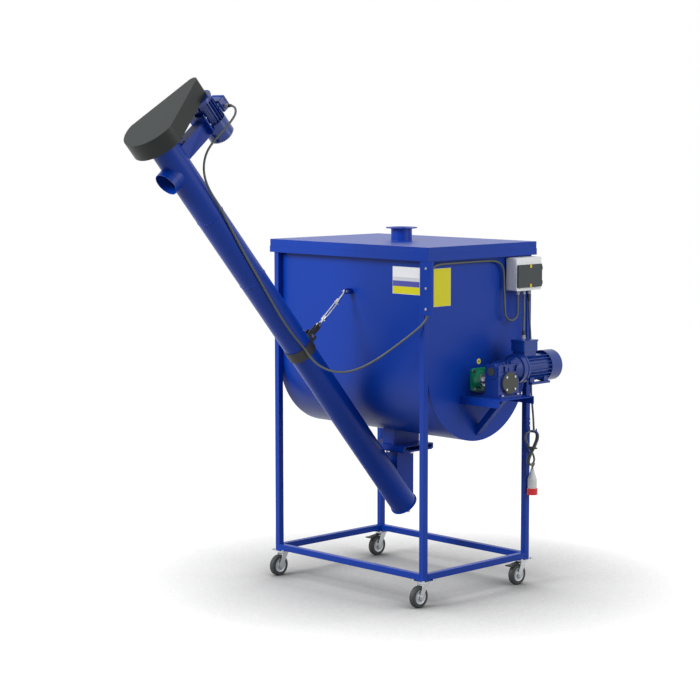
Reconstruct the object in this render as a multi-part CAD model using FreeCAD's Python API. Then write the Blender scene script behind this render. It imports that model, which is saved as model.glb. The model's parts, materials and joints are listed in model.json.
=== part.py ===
import FreeCAD, Part
import math
import os
from FreeCAD import Matrix, Placement, Vector

# Ribbon blender on castors with an inclined discharge auger.
# Millimetres, +Z up, +X towards the drive end, -Y towards the auger.
# Everything is modelled about the middle of the trough at floor level, and the
# last step moves it so that the origin is the middle of the whole machine's base.

# ---- Frame ----------------------------------------------------------------
frame_length = 1200.0        # over the posts, along X
frame_width = 876.0          # over the posts, along Y
tube = 35.0                  # square tube of posts and rails
tube_wall = 3.0
tube_corner = 3.0
frame_height = 148.0         # floor to the underside of the posts

# ---- Trough and its rim ---------------------------------------------------
trough_wall = 4.0
trough_underside = 876.0     # floor to the lowest line of the trough
end_wall = 6.0
end_setback = 5.0            # end plates behind the posts' outer faces
rim_underside = 1893.0
rim_depth = 36.0
rim_wall = 4.0
rim_lip = 12.0               # how far the rim reaches in over the trough
overhang_drive = 33.0
overhang_idle = 30.0
overhang_side = 6.0

# ---- Lid and inlet --------------------------------------------------------
lid_depth = 39.0
lid_wall = 3.0
lid_gap = 0.3
lid_rib_width = 60.0
lid_rib_depth = 22.0
lid_rib_inset = 300.0        # ribs from the middle of the lid
inlet_outer = 60.0
inlet_wall = 3.0
inlet_height = 74.0          # above the lid
flange_radius = 89.0
flange_thickness = 6.0
flange_pitch_radius = 77.5
flange_hole = 4.5
flange_holes = 4
hinge_offset = 13.0          # hinge axis outside the rim's face
hinge_knuckle = 9.0
hinge_pin = 4.0
hinge_length = 90.0
hinge_leaf = 4.0
hinge_leaf_height = 26.0
hinge_spacing = 430.0

# ---- Rotor ----------------------------------------------------------------
shaft_height = 1220.0
journal = 20.0
shaft_body = 30.0
running_gap = 0.09
ribbon_gap = 8.0             # ribbon to trough at the lowest line
outer_ribbon_width = 50.0
inner_ribbon_outer = 178.0
inner_ribbon_width = 44.0
ribbon_thickness = 6.0
ribbon_end_gap = 9.0         # ribbon ends to the end plates
arm_radius = 11.0
arms_per_half = 4
seat_gap = 0.2

# ---- Shaft bearings -------------------------------------------------------
bearing_square = 130.0
bearing_flange = 14.0
bearing_boss = 44.0
bearing_depth = 36.0
bearing_pitch = 102.0
bearing_corner = 18.0
collar_radius = 34.0
collar_length = 50.0
bearing_bolt = 6.0

# ---- Drive platform -------------------------------------------------------
platform_length = 284.0
platform_half_width = 144.0
platform_drop = 81.0         # its top below the rotor shaft
platform_wall = 5.0
platform_lip = 43.0
strut_drop = 229.0           # foot of the strut below the plate
strut_reach = 215.0

# ---- Worm gearbox ---------------------------------------------------------
gear_start = 122.0           # inboard face from the posts' outer faces
gear_width = 99.0
gear_half = 84.0
gear_top = 51.0              # housing above the worm axis
centre_distance = 65.0
output_boss = 66.0
output_boss_proud = 5.0
hub_radius = 30.0
cover_radius = 61.0
cover_depth = 9.0
worm_barrel = 44.0
worm_cap_radius = 23.0
worm_cap_depth = 6.0
bell_reach = 120.0
bell_radius = 82.0
bell_disc = 24.0
gear_foot_reach = 22.0
gear_bolt_pitch = 62.0       # foot bolts from the middle
gear_bolt = 5.0

# ---- Main motor -----------------------------------------------------------
main_motor = {"flange": 80.0, "flange_depth": 12.0, "body": 84.0, "core": 70.0, "length": 206.0,
              "cowl": 86.0, "cowl_length": 84.0, "foot": 90.0, "foot_spread": 70.0, "shaft": 12.0,
              "foot_start": 50.0, "shaft_out": 40.0, "fins": 24, "box_half": 51.0,
              "box_start": 8.0, "box_length": 113.0, "box_foot": 93.0, "box_height": 63.0}

motor_band = 12.0            # plain band at each end of the finned part

# ---- Control box ----------------------------------------------------------
box_width = 210.0
box_height = 185.0
box_depth = 90.0
box_gap = 8.0                # below the rim
box_shift = 324.0            # centre of the box from the machine's middle
box_corner = 9.0
window_height = 128.0
window_depth = 10.0
window_margin = 4.0
window_drop = 18.0
window_barrel = 3.0
catch_width = 15.0
gland_spread = 48.0

# ---- Discharge, gate and auger inlet ----------------------------------------
neck_half_length = 45.5      # oblong neck, from its middle to its faces along X
neck_half_width = 102.0      # and along Y
neck_wall = 4.0
neck_length = 74.0           # trough's lowest line to the gate
gate_depth = 31.0
gate_plate = 5.0
gate_half_width = 121.0
gate_half_length = 140.0
gate_side_bar = 10.0
blade_thickness = 6.0
slot_clearance = 0.3
blade_tail = 150.0           # blade end from the middle when shut
blade_lap = 4.0              # blade over the far edge of the neck
grip_depth = 26.0
grip_height = 24.0
grip_half_width = 45.0
joint_flange = 6.0           # flange of the auger inlet, bolted under the gate
joint_half_length = 136.0
joint_half_width = 117.0
joint_bolt = 6.0
inlet_half_length = 45.5     # oblong auger inlet, along X
inlet_half_width = 67.0      # and along Y
inlet_shift = -12.0          # its middle towards the auger
inlet_drop = 304.0           # gate to the point where tube and inlet axes cross

# ---- Auger ----------------------------------------------------------------
auger_lean = 40.3            # tube axis from the vertical, degrees
auger_tube = 77.0
auger_wall = 4.0
auger_start = -30.0          # along the tube axis from the crossing point
auger_split = 1755.0
auger_end = 2713.0
screw_radius = 69.0
screw_shaft = 20.0
screw_pitch = 140.0
screw_thickness = 5.0
cap_radius = 82.0
cap_plate = 8.0
cap_boss = 32.0
cap_boss_length = 22.0
stub_length = 40.0
stub_radius = 12.0
top_disc = 12.0
spout_at = 2520.0
spout_outer = 66.0
spout_wall = 3.0
spout_reach = 114.0
spout_weld = 1.0             # weld collar at the spout's root

# ---- Belt drive of the auger ----------------------------------------------
guard_round = 160.0          # half-round end about the screw
guard_round_at = 8.0
guard_tip = 31.0             # small round end beyond the motor
guard_tip_at = 359.0
belt_centres = 337.0         # screw axis to motor axis
guard_depth = 97.0
guard_wall = 2.5
guard_plate = 4.0
pulley_width = 34.0
screw_pulley = 108.0
motor_pulley = 27.0
belt_thickness = 6.0
pulley_at = 44.0             # middle of the belt above the back plate
auger_motor = {"flange": 70.0, "flange_depth": 10.0, "body": 66.0, "core": 54.0, "length": 150.0,
               "cowl": 70.0, "cowl_length": 96.0, "foot": 71.0, "foot_spread": 52.0, "shaft": 9.5,
               "foot_start": 66.0, "shaft_out": 66.0, "fins": 20, "box_half": 45.0,
               "box_start": 73.0, "box_length": 72.0, "box_foot": 67.0, "box_height": 47.0}
arm_low = 2533.0
arm_high = 2620.0
arm_half = 34.0
arm_wall = 4.0
foot_plate = 8.0

# ---- Stay between trough and auger ----------------------------------------
stay_at = 1228.0
clamp_width = 64.0
clamp_thickness = 5.0
clamp_ear = 42.0
link_length = 82.0
link_thickness = 5.0
link_width = 30.0
peg_height = 1700.0
peg_radius = 17.0
buckle_half = 13.0
buckle_bar = 8.0
eye_radius = 15.0
eye_thickness = 9.0
eye_shank = 22.0             # flat shank from the pin to the round rod
pin_hole = 6.1
rod_radius = 6.5

# ---- Castors --------------------------------------------------------------
castor_plate = 102.0
castor_plate_thickness = 4.0
castor_overlap = 19.0        # plate outside the frame's faces
castor_bolt_pitch = 80.0
wheel_radius = 60.0
wheel_width = 34.0
wheel_hub = 40.0
wheel_trail = 36.0
wheel_axle = 6.0
fork_crown = 34.0
fork_crown_depth = 10.0
fork_leg = 3.5
fork_leg_gap = 3.0
king_pin = 8.0
pedal_reach = 92.0

# ---- Small parts ----------------------------------------------------------
duct_width = 80.0
duct_height = 289.0
duct_wall = 3.0
duct_reach = 55.0
duct_bolt_drops = (36.0, 144.0, 255.0)
label_thickness = 0.8
front_label = (206.0, 149.0)
front_label_edge = 66.0      # from the posts' outer faces
front_label_drop = 39.0      # under the rim
side_label = (148.0, 206.0)
side_label_edge = 29.0
side_label_drop = 44.0
round_label = 15.5
round_label_rise = 100.0     # over the rotor shaft
gland_radius = 11.0
gland_length = 22.0
cable = 6.0
bend_share = 0.45            # of the shorter neighbouring run
hank_out = 35.0              # middle of the hank outside the posts
hank_inset = 25.0            # and inside the posts' far faces
hank_depth = 48.0
hank_edge = 10.0
hank_lobes = ((846.0, 48.0, 56.0), (742.0, 46.0, 60.0))
hook_sink = 16.0             # hook under the top of the hank
hook_plate_rise = 74.0
hook_bolt_rises = (33.0, 59.0)
hook_radius = 4.0
plug_inset = 18.0
plug_top = 673.0
plug_profile = ((10.0, 0.0), (12.0, 14.0), (22.0, 46.0), (26.0, 60.0), (26.0, 111.0))
plug_ring = 30.5
plug_ring_length = 37.0
plug_ring_bore = 24.0

# ---- Worked out from the above --------------------------------------------
half_length = frame_length / 2
half_width = frame_width / 2
trough_half = half_width - tube
trough_centre = trough_underside + trough_half
end_face = half_length - end_setback
shell_end = end_face - end_wall
rim_top = rim_underside + rim_depth
shell_top = rim_top - rim_wall
rim_x = (-half_length - overhang_idle, half_length + overhang_drive)
rim_y = (-half_width - overhang_side, half_width + overhang_side)
lid_bottom = rim_top + lid_gap
lid_top = rim_top + lid_depth
hinge_y = rim_y[1] + hinge_offset
hinge_z = rim_top + lid_gap / 2
ribbon_outer = min(shaft_height - trough_underside, trough_half) - trough_wall - ribbon_gap
ribbon_end = shell_end - ribbon_end_gap
gear_x = (half_length + gear_start, half_length + gear_start + gear_width)
gear_middle = (gear_x[0] + gear_x[1]) / 2
worm_height = shaft_height + centre_distance
platform_top = shaft_height - platform_drop
platform_under = platform_top - platform_wall
strut_foot = platform_under - strut_drop
gate_top = trough_underside - neck_length
joint_height = gate_top - gate_depth
auger_foot = joint_height - inlet_drop
hank_middle = (half_length + hank_out, half_width - hank_inset)
hook_height = hank_lobes[0][0] + hank_lobes[0][2] - hook_sink
plug_at = (hank_middle[0], half_width - plug_inset)
guard_top = auger_end + guard_depth
box_z = (rim_underside - box_gap - box_height, rim_underside - box_gap)
box_y = (box_shift - box_width / 2, box_shift + box_width / 2)
box_front = half_length + box_depth
castor_inset = castor_plate / 2 - castor_overlap
castor_centre = (half_length - castor_inset, half_width - castor_inset)
wheel_height = wheel_radius
clearance = 0.3

nodes = {}
bolts = []
glands = []


# ---- Shape helpers --------------------------------------------------------
def block(x, y, z):
    """Block between three (low, high) pairs."""
    return Part.makeBox(x[1] - x[0], y[1] - y[0], z[1] - z[0], Vector(x[0], y[0], z[0]))


def centred(half_x, half_y, z, shift=0.0):
    """Block about the Z axis, or shifted from it along Y."""
    return block((-half_x, half_x), (shift - half_y, shift + half_y), z)


def rod(radius, start, end):
    """Round bar between two points."""
    run = Vector(*end) - Vector(*start)
    return Part.makeCylinder(radius, run.Length, Vector(*start), run)


def pipe(outer, inner, start, end):
    return rod(outer, start, end).cut(rod(inner, start, end))


def fuse(shapes):
    result = shapes[0].multiFuse(shapes[1:]) if len(shapes) > 1 else shapes[0]
    return result.removeSplitter()


def cut(shape, tools):
    return shape.cut(Part.makeCompound(tools))


def prism(points, run):
    """Flat outline through the points, drawn out along run."""
    corners = [Vector(*point) for point in points]
    return Part.Face(Part.makePolygon(corners + corners[:1])).extrude(Vector(*run))


def soften(shape, radius, direction):
    """Round the straight edges that run along a direction."""
    axis = Vector(*direction)
    edges = []
    for edge in shape.Edges:
        if len(edge.Vertexes) == 2:
            run = edge.Vertexes[1].Point - edge.Vertexes[0].Point
            if run.Length > 0 and run.cross(axis).Length < 1e-6 * run.Length:
                edges.append(edge)
    return shape.makeFillet(radius, edges)


def u_face(half, top, x):
    """Upright face at x with straight sides down to a half circle."""
    upper = [Vector(x, half, top), Vector(x, -half, top)]
    lower = [Vector(x, half, trough_centre), Vector(x, -half, trough_centre)]
    bottom = Vector(x, 0, trough_centre - half)
    edges = [Part.makeLine(upper[0], lower[0]), Part.Arc(lower[0], bottom, lower[1]).toShape(),
             Part.makeLine(lower[1], upper[1]), Part.makeLine(upper[1], upper[0])]
    return Part.Face(Part.Wire(edges))


def helical_band(inner, outer, thickness, pitch, length, left):
    """Edgewise wound strip about Z, from z = 0 upwards."""
    edges = [Part.makeHelix(pitch, length, radius, 0, left).Edges[0] for radius in (inner, outer)]
    band = Part.makeRuledSurface(*edges).extrude(Vector(0, 0, thickness))
    return band.translated(Vector(0, 0, -thickness / 2))


def hex_bolt(base, direction, shank, length, head=0.62):
    """Hexagon head seated at base, shank running back against the direction."""
    size = shank * 1.75
    corners = [Vector(size * math.cos(math.radians(60 * step)), size * math.sin(math.radians(60 * step)), 0)
               for step in range(6)]
    top = Part.Face(Part.makePolygon(corners + corners[:1])).extrude(Vector(0, 0, shank * 2 * head))
    solid = top
    if length:
        solid = top.fuse(Part.makeCylinder(shank, length, Vector(0, 0, -length))).removeSplitter()
    solid.Placement = Placement(Vector(*base), FreeCAD.Rotation(Vector(0, 0, 1), Vector(*direction)))
    return solid


def set_frame(shape, origin, x_axis, z_axis):
    """Place a shape drawn about its own axes: its X and Z go along the two given."""
    x_dir, z_dir = Vector(*x_axis), Vector(*z_axis)
    y_dir = z_dir.cross(x_dir)
    turn = Matrix(x_dir.x, y_dir.x, z_dir.x, origin[0], x_dir.y, y_dir.y, z_dir.y, origin[1],
                  x_dir.z, y_dir.z, z_dir.z, origin[2], 0, 0, 0, 1)
    placed = shape.copy()
    placed.Placement = Placement(turn).multiply(placed.Placement)
    return placed


lean = math.radians(auger_lean)
AUGER_UP = (0.0, -math.sin(lean), math.cos(lean))
AUGER_BACK = (0.0, math.cos(lean), math.sin(lean))


def on_auger(shape):
    """From auger axes (X across, Y back towards the machine, Z up the tube) to the machine's."""
    return set_frame(shape, (0, 0, auger_foot), (1, 0, 0), AUGER_UP)


def auger_point(x, back, along):
    return tuple(o + back * b + along * u for o, b, u in zip((x, 0, auger_foot), AUGER_BACK, AUGER_UP))


# ---- Frame ----------------------------------------------------------------
def square_tube(x, y, z, axis):
    """Square tube along one axis, with rounded corners and open ends."""
    spans = {"x": x, "y": y, "z": z}
    direction = tuple(1 if name == axis else 0 for name in "xyz")
    outside = soften(block(x, y, z), tube_corner, direction)
    inner = {name: span if name == axis else (span[0] + tube_wall, span[1] - tube_wall)
             for name, span in spans.items()}
    return outside.cut(block(inner["x"], inner["y"], inner["z"]))


def frame_parts():
    posts, rails = [], []
    rail_z = (frame_height, frame_height + tube)
    for sx in (-1, 1):
        outer_x = sorted((sx * half_length, sx * (half_length - tube)))
        for sy in (-1, 1):
            outer_y = sorted((sy * half_width, sy * (half_width - tube)))
            posts.append(square_tube(outer_x, outer_y, (frame_height, shell_top), "z"))
        rails.append(square_tube(outer_x, (-trough_half, trough_half), rail_z, "y"))
    for sy in (-1, 1):
        outer_y = sorted((sy * half_width, sy * (half_width - tube)))
        rails.append(square_tube((tube - half_length, half_length - tube), outer_y, rail_z, "x"))
    nodes["corner_posts"] = posts
    nodes["base_rails"] = rails


# ---- Trough ---------------------------------------------------------------
def trough_parts():
    run = Vector(2 * shell_end, 0, 0)
    shell = u_face(trough_half, shell_top, -shell_end).extrude(run)
    inside = u_face(trough_half - trough_wall, shell_top, -shell_end).extrude(run)
    over = trough_underside + 60
    outlet = centred(neck_half_length - neck_wall, neck_half_width - neck_wall, (trough_underside - 10, over))
    hole = rod(journal + 3, (-half_length, 0, shaft_height), (half_length, 0, shaft_height))
    plate = u_face(trough_half, shell_top, shell_end).extrude(Vector(end_wall, 0, 0)).cut(hole)
    nodes["drive_end_plate"] = [plate]
    other = u_face(trough_half, shell_top, -end_face).extrude(Vector(end_wall, 0, 0)).cut(hole)
    nodes["idle_end_plate"] = [other]
    neck = centred(neck_half_length, neck_half_width, (gate_top, trough_underside + 40))
    bore = centred(neck_half_length - neck_wall, neck_half_width - neck_wall, (gate_top - 1, over))
    body = u_face(trough_half, shell_top, -shell_end).extrude(run)
    nodes["trough_shell"] = [fuse([cut(shell, [inside, outlet]), cut(neck, [body, bore])])]


def rim_and_lid():
    skirt = block(rim_x, rim_y, (rim_underside, rim_top))
    hollow = block((rim_x[0] + rim_wall, rim_x[1] - rim_wall), (rim_y[0] + rim_wall, rim_y[1] - rim_wall),
                   (rim_underside - 1, shell_top))
    mouth_x = shell_end - rim_lip
    mouth_y = trough_half - trough_wall - rim_lip
    mouth = block((-mouth_x, mouth_x), (-mouth_y, mouth_y), (shell_top - 1, rim_top + 1))
    nodes["trough_rim"] = [cut(skirt, [hollow, mouth])]
    tray = soften(block(rim_x, rim_y, (lid_bottom, lid_top)), 6.0, (0, 0, 1))
    under = block((rim_x[0] + lid_wall, rim_x[1] - lid_wall), (rim_y[0] + lid_wall, rim_y[1] - lid_wall),
                  (lid_bottom - 1, lid_top - lid_wall))
    lid = tray.cut(under)
    for side in (-1, 1):
        middle = side * lid_rib_inset
        span = (middle - lid_rib_width / 2, middle + lid_rib_width / 2)
        inner = (span[0] + lid_wall, span[1] - lid_wall)
        base = lid_top - lid_wall
        rib = block(span, (-mouth_y + 20, mouth_y - 20), (base - lid_rib_depth, base))
        rib = rib.cut(block(inner, (-mouth_y, mouth_y), (base - lid_rib_depth + lid_wall, base + 1)))
        lid = lid.fuse(rib)
    knuckles = []
    for middle in (-hinge_spacing, 0.0, hinge_spacing):
        for span in ((-0.5, -0.17), (0.17, 0.5)):
            knuckles.append(knuckle(middle, span, 1))
    lid = fuse([lid] + knuckles)
    nodes["lid"] = [lid.cut(rod(inlet_outer - inlet_wall, (0, 0, lid_bottom), (0, 0, lid_top + 1)))]
    leaves = []
    for middle in (-hinge_spacing, 0.0, hinge_spacing):
        leaves.append(knuckle(middle, (-0.166, 0.166), -1))
        half = hinge_length / 2
        leaves.append(rod(hinge_pin, (middle - half, hinge_y, hinge_z), (middle + half, hinge_y, hinge_z)))
    nodes["hinge_leaves"] = leaves


def knuckle(middle, span, side):
    """Hinge knuckle with its leaf, for the lid (side 1) or for the rim (side -1)."""
    ends = (middle + span[0] * hinge_length, middle + span[1] * hinge_length)
    barrel = rod(hinge_knuckle, (ends[0], hinge_y, hinge_z), (ends[1], hinge_y, hinge_z))
    web_z = sorted((hinge_z + side * lid_gap / 2, hinge_z + side * hinge_knuckle))
    web = block(ends, (rim_y[1], hinge_y), web_z)
    leaf_z = sorted((hinge_z + side * lid_gap / 2, hinge_z + side * hinge_leaf_height))
    leaf = block(ends, (rim_y[1], rim_y[1] + hinge_leaf), leaf_z)
    bore = hinge_pin + (running_gap if side > 0 else 0)
    return fuse([barrel, web, leaf]).cut(rod(bore, (ends[0], hinge_y, hinge_z), (ends[1], hinge_y, hinge_z)))


def inlet_parts():
    top = lid_top + inlet_height
    neck = rod(inlet_outer, (0, 0, lid_top), (0, 0, top))
    ring = rod(flange_radius, (0, 0, top - flange_thickness), (0, 0, top))
    bore = rod(inlet_outer - inlet_wall, (0, 0, lid_top - 1), (0, 0, top + 1))
    holes = []
    for step in range(flange_holes):
        angle = math.radians(360.0 * (step + 0.5) / flange_holes)
        x, y = flange_pitch_radius * math.cos(angle), flange_pitch_radius * math.sin(angle)
        holes.append(rod(flange_hole, (x, y, top - flange_thickness - 1), (x, y, top + 1)))
    nodes["inlet_neck"] = [cut(fuse([neck, ring]), [bore] + holes)]


# ---- Rotor ----------------------------------------------------------------
def rotor_parts():
    inner_end = -end_face - bearing_depth - 22
    outer_end = gear_x[1] + 2
    shaft = fuse([rod(journal, (inner_end, 0, shaft_height), (outer_end, 0, shaft_height)),
                  rod(shaft_body, (-ribbon_end, 0, shaft_height), (ribbon_end, 0, shaft_height))])
    collars = []
    for side in (-1, 1):
        start = side * (end_face + 4)
        end = side * (end_face + collar_length)
        collars.append(pipe(collar_radius, journal, (start, 0, shaft_height), (end, 0, shaft_height)))
    hub = pipe(hub_radius, journal, (gear_x[0] - 6, 0, shaft_height), (gear_x[1] - 1, 0, shaft_height))
    nodes["rotor_shaft"] = [shaft, hub] + collars
    arm_step = (ribbon_end - arm_radius - ribbon_thickness / 2) / arms_per_half
    pitch = arm_step * arms_per_half
    nodes["outer_ribbons"] = ribbons(ribbon_outer - outer_ribbon_width, ribbon_outer, pitch, False)
    inner = ribbons(inner_ribbon_outer - inner_ribbon_width, inner_ribbon_outer, pitch, True)
    nodes["inner_ribbons"] = inner
    arms = []
    rings = ((shaft_body, inner_ribbon_outer - inner_ribbon_width),
             (inner_ribbon_outer, ribbon_outer - outer_ribbon_width))
    for side in (-1, 1):
        for step in range(arms_per_half + 1):
            if side < 0 and step == 0:
                continue
            x = side * arm_step * step
            for turn in (0, 1):
                angle = math.pi * turn + math.pi * 2 * abs(x) / pitch
                direction = (0.0, math.cos(angle), math.sin(angle))
                for low, high in rings:
                    start = tuple(o + (low - (4 if low == shaft_body else -seat_gap)) * d
                                  for o, d in zip((x, 0, shaft_height), direction))
                    end = tuple(o + (high - seat_gap) * d for o, d in zip((x, 0, shaft_height), direction))
                    arms.append(rod(arm_radius, start, end).cut(shaft))
    nodes["ribbon_arms"] = arms


def ribbons(inner, outer, pitch, left):
    """Two starts on each half of the shaft, mirrored about the middle."""
    band = helical_band(inner, outer, ribbon_thickness, pitch, ribbon_end - ribbon_thickness - 0.2, left)
    result = []
    start = ribbon_thickness / 2 + 0.2
    lead = (-360 if left else 360) * start / pitch
    for turn in (0, 180):
        drive = set_frame(band, (start, 0, shaft_height), (0, 1, 0), (1, 0, 0))
        drive.rotate(Vector(0, 0, shaft_height), Vector(1, 0, 0), turn + lead)
        result.append(drive)
        result.append(drive.mirror(Vector(0, 0, shaft_height), Vector(1, 0, 0)))
    return result


def bearing_parts():
    housings = []
    for side in (-1, 1):
        base = side * end_face
        half = bearing_square / 2
        x = sorted((base, base + side * bearing_flange))
        flange = soften(block(x, (-half, half), (shaft_height - half, shaft_height + half)),
                        bearing_corner, (1, 0, 0))
        cone = Part.makeCone(bearing_boss + 8, bearing_boss, bearing_depth - bearing_flange,
                             Vector(base + side * bearing_flange, 0, shaft_height), Vector(side, 0, 0))
        bore = rod(collar_radius + running_gap, (base, 0, shaft_height),
                   (base + side * (bearing_depth + 1), 0, shaft_height))
        shape = fuse([flange, cone]).cut(bore)
        holes = []
        for sy in (-1, 1):
            for sz in (-1, 1):
                y, z = sy * bearing_pitch / 2, shaft_height + sz * bearing_pitch / 2
                through = (base + side * (bearing_flange + 1), y, z)
                holes.append(rod(bearing_bolt + clearance, (base, y, z), through))
                bolts.append(hex_bolt((base + side * bearing_flange, y, z), (side, 0, 0),
                                      bearing_bolt, bearing_flange))
        housings.append(cut(shape, holes))
    nodes["bearing_housings"] = housings


# ---- Drive ----------------------------------------------------------------
def platform_parts():
    x = (end_face, end_face + platform_length)
    y = (-platform_half_width, platform_half_width)
    tray = block(x, y, (platform_top - platform_lip, platform_top))
    under = block((x[0] - 1, x[1] + 1), (y[0] + platform_wall, y[1] - platform_wall),
                  (platform_top - platform_lip - 1, platform_under))
    run = math.hypot(strut_reach, strut_drop)
    side = [(end_face, -tube / 2, strut_foot), (end_face + strut_reach, -tube / 2, platform_under),
            (end_face + strut_reach - tube * run / strut_drop, -tube / 2, platform_under),
            (end_face, -tube / 2, strut_foot + tube * run / strut_reach)]
    nodes["drive_platform"] = [tray.cut(under), prism(side, (0, tube, 0))]


def gearbox_parts():
    z = shaft_height
    middle = (gear_x[0], gear_x[1])
    body = soften(block(middle, (-gear_half, gear_half), (platform_top, worm_height + gear_top - 15)),
                  10.0, (1, 0, 0))
    foot = block((gear_x[0] - gear_foot_reach, gear_x[1] + gear_foot_reach), (-gear_half, gear_half),
                 (platform_top, platform_top + 14))
    boss = rod(output_boss, (gear_x[0] - output_boss_proud, 0, z), (gear_x[1] + output_boss_proud, 0, z))
    barrel = rod(worm_barrel, (gear_middle, -gear_half - 4, worm_height),
                 (gear_middle, gear_half, worm_height))
    cone = Part.makeCone(worm_barrel, bell_radius - 12, bell_reach - bell_disc - 50,
                         Vector(gear_middle, 50, worm_height), Vector(0, 1, 0))
    disc = rod(bell_radius, (gear_middle, bell_reach - bell_disc, worm_height),
               (gear_middle, bell_reach, worm_height))
    ribs = []
    for offset in (-30.0, 0.0, 30.0):
        ribs.append(block((gear_middle - 40, gear_middle + 40), (offset - 2.5, offset + 2.5),
                          (worm_height + worm_barrel - 10, worm_height + gear_top)))
    for side in (-1, 1):
        face = gear_x[0] if side < 0 else gear_x[1]
        for angle in (30, 90, 150, 210, 330):
            tip = (math.cos(math.radians(angle)), math.sin(math.radians(angle)))
            rib_z = (z + output_boss - 6, z + output_boss + 16)
            rib = block(sorted((face, face + side * 4)), (-2.5, 2.5), rib_z)
            rib.rotate(Vector(face, 0, z), Vector(1, 0, 0), angle - 90)
            if abs(tip[0] * (output_boss + 16)) < gear_half:
                ribs.append(rib)
    shape = fuse([body, foot, boss, barrel, cone, disc] + ribs)
    bore = rod(hub_radius + running_gap, (gear_x[0] - 20, 0, z), (gear_x[1] + 20, 0, z))
    socket = rod(main_motor["shaft"] + 1, (gear_middle, bell_reach - 60, worm_height),
                 (gear_middle, bell_reach + 1, worm_height))
    seat = rod(worm_cap_radius, (gear_middle, -gear_half - 5, worm_height),
               (gear_middle, -gear_half + 2, worm_height))
    holes = []
    for sx in (-1, 1):
        face = gear_x[0] if sx < 0 else gear_x[1]
        for sy in (-1, 1):
            pocket_y = sorted((sy * 30, sy * (gear_half - 12)))
            holes.append(block(sorted((face, face - sx * 8)), pocket_y, (worm_height - 6, worm_height + 28)))
            base = (face + sx * (gear_foot_reach - 11), sy * gear_bolt_pitch)
            bolts.append(hex_bolt(base + (platform_top + 14,), (0, 0, 1), gear_bolt, 0))
            bolts.append(hex_bolt(base + (platform_under,), (0, 0, -1), gear_bolt, 0))
    nodes["gearbox_housing"] = [cut(shape, [bore, socket, seat] + holes)]
    face = gear_x[1] + output_boss_proud
    cover = rod(cover_radius, (face, 0, z), (face + cover_depth, 0, z))
    cover = cover.makeChamfer(2.5, [edge for edge in cover.Edges if edge.BoundBox.XMin > face + 1
                                    and edge.BoundBox.XLength < 0.1])
    cap = rod(worm_cap_radius - 0.2, (gear_middle, -gear_half + 2, worm_height),
              (gear_middle, -gear_half + 2 - worm_cap_depth - 4, worm_height))
    nodes["gearbox_covers"] = [cover, cap]
    for step in range(4):
        angle = math.radians(45 + 90 * step)
        y, height = 48 * math.cos(angle), z + 48 * math.sin(angle)
        bolts.append(hex_bolt((face + cover_depth, y, height), (1, 0, 0), 4.0, 0))


def foot_span(size):
    """Feet of a motor along its axis, ending just before the cowl."""
    return size["foot_start"], size["flange_depth"] + size["length"] - motor_band - 2 - clearance


def motor_shapes(size):
    """Motor about +Z from its flange face, with +Y towards its terminal box."""
    start = size["flange_depth"]
    end = start + size["length"]
    cowl_end = end + size["cowl_length"]
    band = motor_band
    parts = [rod(size["flange"], (0, 0, 0), (0, 0, start)), rod(size["core"], (0, 0, start - 1), (0, 0, end))]
    for step in range(size["fins"]):
        angle = 360.0 * (step + 0.5) / size["fins"]
        if min(abs(angle - 90), abs(angle - 270)) > 30:
            fin = block((size["core"] - 3, size["body"]), (-1.5, 1.5), (start + band, end - band))
            fin.rotate(Vector(0, 0, 0), Vector(0, 0, 1), angle)
            parts.append(fin)
    for low in (start, end - band):
        parts.append(rod(size["body"] - 1, (0, 0, low), (0, 0, low + band)))
    box_y = (size["box_foot"], size["box_foot"] + size["box_height"])
    box_z = (size["box_start"], size["box_start"] + size["box_length"])
    box_x = (-size["box_half"], size["box_half"])
    neck_y = (size["core"] - 8, box_y[0])
    parts.append(block((box_x[0] + 8, box_x[1] - 8), neck_y, (box_z[0] + 8, box_z[1] - 8)))
    spread, pad, web = size["foot_spread"], 26.0, 12.0
    length = foot_span(size)
    for side in (-1, 1):
        foot_x = sorted((side * (spread - pad), side * spread))
        web_x = sorted((side * (spread - pad), side * (spread - pad + web)))
        parts.append(block(foot_x, (-size["foot"], web - size["foot"]), length))
        for span in ((length[0], length[0] + 36), (length[1] - 36, length[1])):
            parts.append(block(web_x, (-size["foot"], -20), span))
    outer = rod(size["cowl"], (0, 0, end - band - 2), (0, 0, cowl_end))
    outer = outer.makeChamfer(12.0, [edge for edge in outer.Edges if edge.BoundBox.ZMin > end])
    hollow = rod(size["cowl"] - 2, (0, 0, end - band - 3), (0, 0, cowl_end - 2))
    tools = [hollow.makeChamfer(11.0, [edge for edge in hollow.Edges if edge.BoundBox.ZMin > end])]
    for step in range(10):
        slot = block((18, size["cowl"] - 18), (-4, 4), (cowl_end - 6, cowl_end + 6))
        slot.rotate(Vector(0, 0, 0), Vector(0, 0, 1), 36 * step)
        tools.append(slot)
    lip = pipe(size["cowl"] - 1, size["body"] - 1, (0, 0, end - 10), (0, 0, end - 2))
    box = soften(block(box_x, box_y, box_z), 7.0, (0, 1, 0))
    lid = block((box_x[0] - 3, box_x[1] + 3), (box_y[1] - 9, box_y[1] - 1), (box_z[0] - 3, box_z[1] + 3))
    box = fuse([box, soften(lid, 7.0, (0, 1, 0))])
    fan_z = end + 20
    fan = [rod(size["shaft"], (0, 0, end + clearance), (0, 0, fan_z + 30)),
           rod(22, (0, 0, fan_z), (0, 0, fan_z + 26))]
    for step in range(6):
        blade = block((18, size["cowl"] - 8), (-1.5, 1.5), (fan_z, fan_z + 26))
        blade.rotate(Vector(0, 0, 0), Vector(0, 0, 1), 60 * step + 15)
        fan.append(blade)
    front = rod(size["shaft"], (0, 0, -size["shaft_out"]), (0, 0, -0.3))
    return {"body": fuse(parts), "cowl": fuse([cut(outer, tools), lip]), "box": box, "fan": fuse(fan),
            "shaft": front}


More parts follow.
